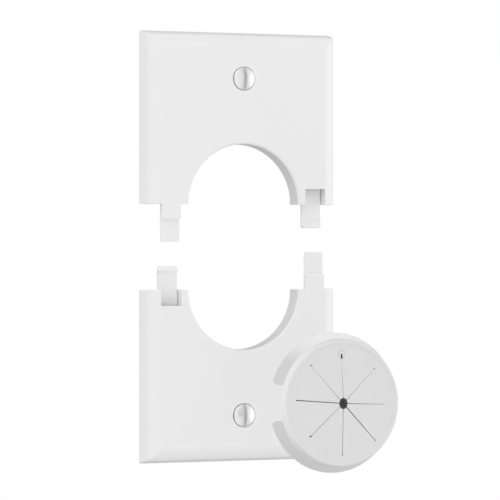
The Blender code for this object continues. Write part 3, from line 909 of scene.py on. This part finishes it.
class Nodes:
    """A short way to write a material's or a world's node tree."""

    def __init__(self, tree):
        self.tree = tree

    def add(self, kind, inputs=None, **settings):
        """A node with its settings, and its inputs set to values or linked to sockets."""
        node = self.tree.nodes.new(kind)
        for key, value in settings.items():
            setattr(node, key, value)
        for key, value in (inputs or {}).items():
            if isinstance(value, bpy.types.NodeSocket):
                self.tree.links.new(value, node.inputs[key])
            else:
                node.inputs[key].default_value = value
        return node

    def math(self, operation, *values, clamp=False):
        """The result of a math node."""
        node = self.add("ShaderNodeMath", dict(enumerate(values)), operation=operation)
        node.use_clamp = clamp
        return node.outputs[0]

    def noise(self, scale, detail, place, roughness=0.5):
        """A noise pattern between 0 and 1, its scale in cells a metre."""
        inputs = {"Scale": scale, "Detail": detail, "Roughness": roughness, "Vector": place}
        return self.add("ShaderNodeTexNoise", inputs).outputs["Fac"]

    def spread(self, value, low, high, to_low, to_high):
        """A value mapped from one range to another and held inside it."""
        inputs = {
            "Value": value,
            "From Min": low,
            "From Max": high,
            "To Min": to_low,
            "To Max": to_high,
        }
        return self.add("ShaderNodeMapRange", inputs).outputs["Result"]

    def grey(self, value):
        """A colour with three equal channels."""
        inputs = {"Red": value, "Green": value, "Blue": value}
        return self.add("ShaderNodeCombineColor", inputs).outputs["Color"]

    def bump(self, height, distance, strength, normal=None):
        """A bumped normal from a height pattern."""
        inputs = {"Height": height, "Distance": distance, "Strength": strength}
        if normal is not None:
            inputs["Normal"] = normal
        return self.add("ShaderNodeBump", inputs).outputs["Normal"]


def new_material(name):
    """An empty Principled material, its node writer and its shader."""
    material = bpy.data.materials.new(name)
    material.use_nodes = True
    nodes = Nodes(material.node_tree)
    return material, nodes, material.node_tree.nodes["Principled BSDF"]


def plastic_material(name, tones, roughnesses):
    """Smooth white moulded plastic: a faint orange peel and slow changes in its sheen."""
    material, nodes, shader = new_material(name)
    place = nodes.add("ShaderNodeTexCoord").outputs["Object"]
    cloud = nodes.noise(CLOUD_SCALE, 3.0, place)
    grain = nodes.noise(PEEL_SCALE, 2.0, place)
    tone = nodes.spread(cloud, *NOISE_MIDDLE, *tones)
    tone = nodes.math("ADD", tone, nodes.math("MULTIPLY", grain, PEEL_TONE))
    nodes.tree.links.new(nodes.grey(tone), shader.inputs["Base Color"])
    rough = nodes.spread(cloud, *NOISE_MIDDLE, *roughnesses)
    nodes.tree.links.new(rough, shader.inputs["Roughness"])
    wave = nodes.bump(nodes.noise(WAVE_SCALE, 1.0, place), *WAVE_BUMP)
    peel = nodes.bump(grain, *PEEL_BUMP, wave)
    nodes.tree.links.new(peel, shader.inputs["Normal"])
    shader.inputs["IOR"].default_value = PLASTIC_IOR
    return material


def plastic_materials():
    """The plate's plastic on its faces, lighter on its rounded edges as a painted highlight, and darker and
    duller on the wall of the cable hole as painted shade.
    """
    return [plastic_material(*look) for look in PLASTIC_LOOKS]


def paint_material(name, tones, metallic):
    """White lacquer on a steel screw: the bright metal shows through it, with fine specks."""
    material, nodes, shader = new_material(name)
    place = nodes.add("ShaderNodeTexCoord").outputs["Object"]
    speck = nodes.noise(PAINT_SCALE, 3.0, place)
    tone = nodes.spread(speck, *PAINT_NOISE, *tones)
    nodes.tree.links.new(nodes.grey(tone), shader.inputs["Base Color"])
    rough = nodes.spread(speck, *NOISE_MIDDLE, *PAINT_ROUGHNESS)
    nodes.tree.links.new(rough, shader.inputs["Roughness"])
    nodes.tree.links.new(nodes.bump(speck, *PAINT_BUMP), shader.inputs["Normal"])
    shader.inputs["Metallic"].default_value = metallic
    return material


def paint_materials():
    """The screw's lacquer, and a darker tone inside the driver slot: painted shade."""
    return [paint_material(*look) for look in PAINT_LOOKS]


def rubber_material(centre, gate):
    """Soft white rubber: dusty, with specks and the gate's round mark; painted shade on the skirt's flanks, a
    painted highlight on its top and on the rim's left side.
    """
    material, nodes, shader = new_material("dusty_rubber")
    place = nodes.add("ShaderNodeTexCoord").outputs["Object"]
    grain = nodes.noise(DUST_SCALE, 3.0, place, DUST_CRISPNESS)
    cloud = nodes.noise(RUBBER_CLOUD_SCALE, 3.0, place)
    inputs = {"Vector": place, "Scale": SPECK_SCALE, "Randomness": 1.0}
    cells = nodes.add("ShaderNodeTexVoronoi", inputs)
    pick = nodes.add("ShaderNodeSeparateColor", {"Color": cells.outputs["Color"]})
    spot = nodes.spread(cells.outputs["Distance"], *SPECK_RADII, 1.0, 0.0)
    chosen = nodes.math("GREATER_THAN", pick.outputs["Red"], SPECK_RARITY)
    speck = nodes.math("MULTIPLY", spot, chosen)
    axes = nodes.add("ShaderNodeSeparateXYZ", {"Vector": place})
    across = nodes.math("SUBTRACT", axes.outputs["X"], centre.x)
    up = nodes.math("SUBTRACT", axes.outputs["Z"], centre.z)
    squared = nodes.math("ADD", nodes.math("POWER", across, 2.0), nodes.math("POWER", up, 2.0))
    radius = nodes.math("SQRT", squared)
    # Painted light and shade on the skirt: darker flanks, a lighter top.
    skirt = nodes.spread(radius, *SKIRT_START, 0.0, 1.0)
    side = nodes.math("DIVIDE", across, radius)
    rise = nodes.math("DIVIDE", up, radius)
    flank_painted_shade = nodes.spread(rise, *PAINTED_FLANK_SHADE)
    crown_painted_light = nodes.spread(rise, *PAINTED_CROWN_LIGHT)
    painted_light_shift = nodes.math("MULTIPLY", skirt, nodes.math("ADD", flank_painted_shade, crown_painted_light))
    # A painted highlight on the rim's left side, fading towards the bottom.
    outer = nodes.spread(radius, *RIM_START, 0.0, 1.0)
    rim = nodes.math("SUBTRACT", outer, skirt, clamp=True)
    rim_painted_light = nodes.spread(side, *PAINTED_RIM_LIGHT)
    rim_painted_light = nodes.math("MULTIPLY", rim_painted_light, nodes.spread(rise, *RIM_LIGHT_FADE))
    painted_light_shift = nodes.math("ADD", painted_light_shift, nodes.math("MULTIPLY", rim, rim_painted_light))
    gate_node = nodes.add(
        "ShaderNodeVectorMath",
        {0: place, 1: (gate.x, gate.y, gate.z)},
        operation="DISTANCE",
    )
    off_ring = nodes.math("ABSOLUTE", nodes.math("SUBTRACT", gate_node.outputs["Value"], GATE_RADIUS))
    mark = nodes.spread(off_ring, *GATE_LINE, 1.0, 0.0)
    tone = nodes.spread(cloud, *NOISE_MIDDLE, *RUBBER_TONE)
    tone = nodes.math("ADD", tone, nodes.math("MULTIPLY", grain, DUST_TONE))
    tone = nodes.math("MULTIPLY", tone, nodes.math("ADD", painted_light_shift, 1.0))
    tone = nodes.math("SUBTRACT", tone, nodes.math("MULTIPLY", speck, SPECK_TONE))
    tone = nodes.math("SUBTRACT", tone, nodes.math("MULTIPLY", mark, GATE_TONE))
    nodes.tree.links.new(nodes.grey(tone), shader.inputs["Base Color"])
    rough = nodes.spread(grain, *NOISE_MIDDLE, *RUBBER_ROUGHNESS)
    nodes.tree.links.new(rough, shader.inputs["Roughness"])
    dust = nodes.bump(grain, *DUST_BUMP)
    ring_mark = nodes.bump(mark, *GATE_BUMP, dust)
    nodes.tree.links.new(ring_mark, shader.inputs["Normal"])
    shader.inputs["Sheen Weight"].default_value = RUBBER_SHEEN
    return material


def cut_shade_material():
    """The cut sides of the slits and the hub, dark with painted shade so that they read as deep gaps."""
    material, nodes, shader = new_material("cut_rubber_painted_shade")
    place = nodes.add("ShaderNodeTexCoord").outputs["Object"]
    grain = nodes.noise(CUT_SCALE, 2.0, place)
    tone = nodes.spread(grain, *NOISE_MIDDLE, *CUT_SHADE_TONE)
    nodes.tree.links.new(nodes.grey(tone), shader.inputs["Base Color"])
    nodes.tree.links.new(nodes.bump(grain, *CUT_BUMP), shader.inputs["Normal"])
    shader.inputs["Roughness"].default_value = CUT_ROUGHNESS
    shader.inputs["Specular IOR Level"].default_value = CUT_GLOSS
    return material


# ---------------------------------------------------------------------------------- camera, light, stage


def make_camera(target):
    """A level camera that looks at the target from the left, its frame a little shifted."""
    camera = bpy.data.cameras.new("camera")
    camera.lens = CAMERA_LENS
    camera.sensor_width = CAMERA_SENSOR
    camera.shift_x, camera.shift_y = CAMERA_SHIFT
    made = bpy.data.objects.new("camera", camera)
    bpy.context.collection.objects.link(made)
    back = Vector((math.sin(CAMERA_AZIMUTH), -math.cos(CAMERA_AZIMUTH), 0.0))
    made.location = target + back * CAMERA_DISTANCE
    made.rotation_euler = (math.pi / 2.0, 0.0, CAMERA_AZIMUTH)
    bpy.context.scene.camera = made


def towards(azimuth, elevation):
    """The unit vector towards a direction in degrees."""
    turn, rise = math.radians(azimuth), math.radians(elevation)
    level = math.cos(rise)
    return Vector((math.sin(turn) * level, -math.cos(turn) * level, math.sin(rise)))


def make_sky():
    """Soft light from all round, uneven by direction, behind a plain white backdrop."""
    world = bpy.data.worlds.new("studio")
    world.use_nodes = True
    bpy.context.scene.world = world
    nodes = Nodes(world.node_tree)
    background = world.node_tree.nodes["Background"]
    direction = nodes.add("ShaderNodeTexCoord").outputs["Generated"]
    light = SKY_BASE
    for (azimuth, elevation), strength in SKY_LIGHTS:
        inputs = {0: direction, 1: towards(azimuth, elevation)}
        facing = nodes.add("ShaderNodeVectorMath", inputs, operation="DOT_PRODUCT").outputs["Value"]
        spread = nodes.math("POWER", nodes.math("MAXIMUM", facing, 0.0), SKY_SOFTNESS)
        light = nodes.math("ADD", light, nodes.math("MULTIPLY", spread, strength))
    background.inputs["Color"].default_value = WHITE
    world.node_tree.links.new(light, background.inputs["Strength"])
    backdrop = nodes.add("ShaderNodeBackground", {"Color": WHITE, "Strength": 1.0})
    seen = nodes.add("ShaderNodeLightPath").outputs["Is Camera Ray"]
    inputs = {0: seen, 1: background.outputs["Background"], 2: backdrop.outputs["Background"]}
    either = nodes.add("ShaderNodeMixShader", inputs)
    output = world.node_tree.nodes["World Output"]
    world.node_tree.links.new(either.outputs["Shader"], output.inputs["Surface"])


def make_floor(height):
    """A plain white floor that neither lights nor shades the object."""
    bm = bmesh.new()
    half = FLOOR_SIZE / 2.0
    bm.faces.new([bm.verts.new((x, y, height)) for x, y in rectangle(-half, half, -half, half)])
    floor = link_mesh("floor", bm)
    material = bpy.data.materials.new("floor_white")
    material.use_nodes = True
    nodes = Nodes(material.node_tree)
    glow = nodes.add("ShaderNodeEmission", {"Color": WHITE, "Strength": 1.0})
    output = material.node_tree.nodes["Material Output"]
    material.node_tree.links.new(glow.outputs["Emission"], output.inputs["Surface"])
    floor.data.materials.append(material)
    floor.visible_diffuse = False
    floor.visible_glossy = False
    floor.visible_shadow = False


# ---------------------------------------------------------------------------------------------- layout


def place_plates(plastics, paints):
    """Both plate halves with their latch tongues and screws."""
    upper_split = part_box("upper_plate_half")[1].z - HALF_HEIGHT
    lower_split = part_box("lower_plate_half")[0].z + HALF_HEIGHT
    upper = Matrix.Translation((0.0, 0.0, upper_split))
    lower = Matrix.Translation((0.0, 0.0, lower_split)) @ HALF_TURN
    at_screw = Matrix.Translation(SCREW_PLACE)
    kinds = (
        (plate_half, "plate", "plate_half", "plate_plastic", plastics, Matrix.Identity(4)),
        (latch_tongue, "latch", "latch_tongue", "plate_plastic", plastics, Matrix.Identity(4)),
        (screw, "screw", "screw", "painted_screw", paints, at_screw),
    )
    for build, body, node, slot, materials, offset in kinds:
        first = build()
        second = bpy.data.objects.new(node, first.data.copy())
        bpy.context.collection.objects.link(second)
        for made, side, place in ((first, "upper", upper), (second, "lower", lower)):
            name = f"{side}_{node}_visual"
            settle(made, name, place @ offset, f"{side}_{body}", materials)
            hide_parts(f"{side}_{node}")
    return (upper_split + lower_split) / 2.0


def place_grommet(rubber, dark, centre):
    """The grommet ring and its petals."""
    place = Matrix.Translation(centre)
    ring = settle(
        grommet_ring(), "grommet_ring_visual", place, "grommet", [rubber]
    )
    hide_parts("grommet_ring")
    for index in range(len(SLITS)):
        made = petal(index)
        made.data.transform(place)
        number = index + 1
        made.name = f"grommet_petal_{number}_visual"
        made.data.materials.append(rubber)
        made.data.materials.append(dark)
        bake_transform(made)
        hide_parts(f"grommet_petal_{number}")


def grommet_centre():
    """The grommet's centre on the crest of its front bead."""
    low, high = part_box("grommet_ring")
    middle = (low + high) / 2.0
    return Vector((middle.x, low.y, middle.z))


def main():
    centre = grommet_centre()
    gate = centre + membrane_point(slit_end(GATE_SLIT), MEMBRANE_FRONT)
    middle = place_plates(plastic_materials(), paint_materials())
    place_grommet(rubber_material(centre, gate), cut_shade_material(), centre)
    make_camera(Vector((0.0, 0.0, middle)))
    make_sky()
    make_floor(CAD_BOX[0][2] - FLOOR_DROP)
    bpy.context.scene.view_settings.view_transform = "Standard"


main()
